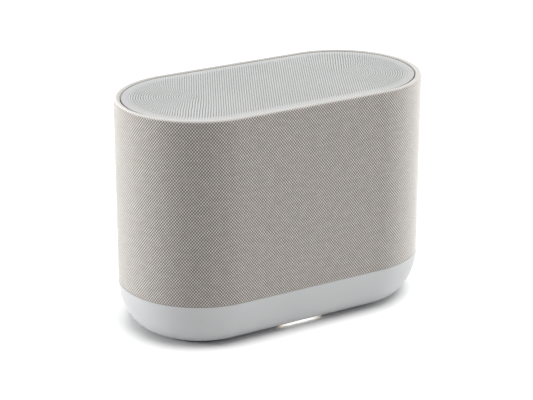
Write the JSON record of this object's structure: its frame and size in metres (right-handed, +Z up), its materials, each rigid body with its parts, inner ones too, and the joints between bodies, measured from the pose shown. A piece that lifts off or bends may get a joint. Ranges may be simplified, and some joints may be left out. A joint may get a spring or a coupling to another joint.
{
  "type": "smart speaker",
  "caption": "Racetrack-shaped tabletop smart speaker with a woven fabric sleeve, perforated touch top, rounded plastic base and front status light.",
  "frame": {"origin": "Centre of the footprint, on the table under the foot ring.", "axes": "+X runs along the long side to the viewer's right, the front with the status light faces -Y, the connector bay faces +Y, +Z is up."},
  "size_m": [0.3, 0.1516, 0.2164],
  "materials": {
    "woven_fabric": "two-tone plain weave of pale grey and taupe yarn",
    "pale_plastic": "satin light grey",
    "dark_plastic": "fine matte dark grey",
    "inner_plastic": "plain black moulding",
    "rubber": "matte blue-grey",
    "diffuser": "milky light guide",
    "circuit_board": "green solder mask",
    "steel": "plain plated steel",
    "ferrite": "dark sintered ferrite",
    "paper": "black coated paper cone",
    "silk": "doped black cloth",
    "foam": "black sealing foam",
    "aluminium": "plain aluminium"
  },
  "bodies": {
    "speaker": {"amplifier_board": "circuit_board", "antenna_left": "circuit_board", "antenna_right": "circuit_board", "audio_jack": "dark_plastic", "base_cover": "pale_plastic", "bottom_plate": "dark_plastic", "bottom_screw_1": "steel", "bottom_screw_2": "steel", "bottom_screw_3": "steel", "bottom_screw_4": "steel", "cabinet_deck": "inner_plastic", "cabinet_gasket": "foam", "connector_board": "circuit_board", "connector_panel": "dark_plastic", "fabric_sleeve": "woven_fabric", "foot_ring": "rubber", "frame_gasket": "foam", "front_baffle": "inner_plastic", "grille_shell": "inner_plastic", "heat_sink": "aluminium", "inlet_pin_left": "steel", "inlet_pin_right": "steel", "light_board": "circuit_board", "light_pipe": "diffuser", "main_board": "circuit_board", "microphone_board": "circuit_board", "mute_contact": "inner_plastic", "pairing_contact": "inner_plastic", "power_board": "circuit_board", "power_capacitor": "aluminium", "power_inlet": "dark_plastic", "power_transformer": "ferrite", "rear_cabinet": "inner_plastic", "shield_can": "steel", "top_driver_frame_left": "steel", "top_driver_frame_right": "steel", "top_frame": "inner_plastic", "top_grille": "pale_plastic", "touch_board": "circuit_board", "tweeter_body_left": "dark_plastic", "tweeter_body_right": "dark_plastic", "usb_port": "steel", "woofer_basket_left": "steel", "woofer_basket_right": "steel", "woofer_magnet_left": "ferrite", "woofer_magnet_right": "ferrite", "woofer_spider_left": "silk", "woofer_spider_right": "silk", "woofer_surround_left": "rubber", "woofer_surround_right": "rubber"},
    "woofer_cone_left_body": {"woofer_cone_left": "paper"},
    "tweeter_dome_left_body": {"tweeter_dome_left": "silk"},
    "top_driver_cone_left_body": {"top_driver_cone_left": "paper"},
    "woofer_cone_right_body": {"woofer_cone_right": "paper"},
    "tweeter_dome_right_body": {"tweeter_dome_right": "silk"},
    "top_driver_cone_right_body": {"top_driver_cone_right": "paper"},
    "pairing_button_body": {"pairing_button": "pale_plastic"},
    "mute_switch_body": {"mute_switch": "pale_plastic"}
  },
  "joints": [
    {"name": "woofer_cone_left_travel", "type": "slide", "parent": "speaker", "child": "woofer_cone_left_body", "axis": [0, -1, 0], "range_m": [-0.004, 0.004], "stiffness_N_per_m": 1500, "deforming": ["woofer_surround_left", "woofer_spider_left"]},
    {"name": "tweeter_dome_left_travel", "type": "slide", "parent": "speaker", "child": "tweeter_dome_left_body", "axis": [0, -1, 0], "range_m": [-0.0004, 0.0004], "stiffness_N_per_m": 3000},
    {"name": "top_driver_cone_left_travel", "type": "slide", "parent": "speaker", "child": "top_driver_cone_left_body", "axis": [0, 0, 1], "range_m": [-0.001, 0.001], "stiffness_N_per_m": 2000},
    {"name": "woofer_cone_right_travel", "type": "slide", "parent": "speaker", "child": "woofer_cone_right_body", "axis": [0, -1, 0], "range_m": [-0.004, 0.004], "stiffness_N_per_m": 1500, "deforming": ["woofer_surround_right", "woofer_spider_right"]},
    {"name": "tweeter_dome_right_travel", "type": "slide", "parent": "speaker", "child": "tweeter_dome_right_body", "axis": [0, -1, 0], "range_m": [-0.0004, 0.0004], "stiffness_N_per_m": 3000},
    {"name": "top_driver_cone_right_travel", "type": "slide", "parent": "speaker", "child": "top_driver_cone_right_body", "axis": [0, 0, 1], "range_m": [-0.001, 0.001], "stiffness_N_per_m": 2000},
    {"name": "pairing_button_press", "type": "slide", "parent": "speaker", "child": "pairing_button_body", "axis": [0, -1, 0], "range_m": [0, 0.0008], "stiffness_N_per_m": 900, "springref_m": -0.001},
    {"name": "mute_switch_slide", "type": "slide", "parent": "speaker", "child": "mute_switch_body", "axis": [1, 0, 0], "range_m": [0, 0.003]}
  ]
}
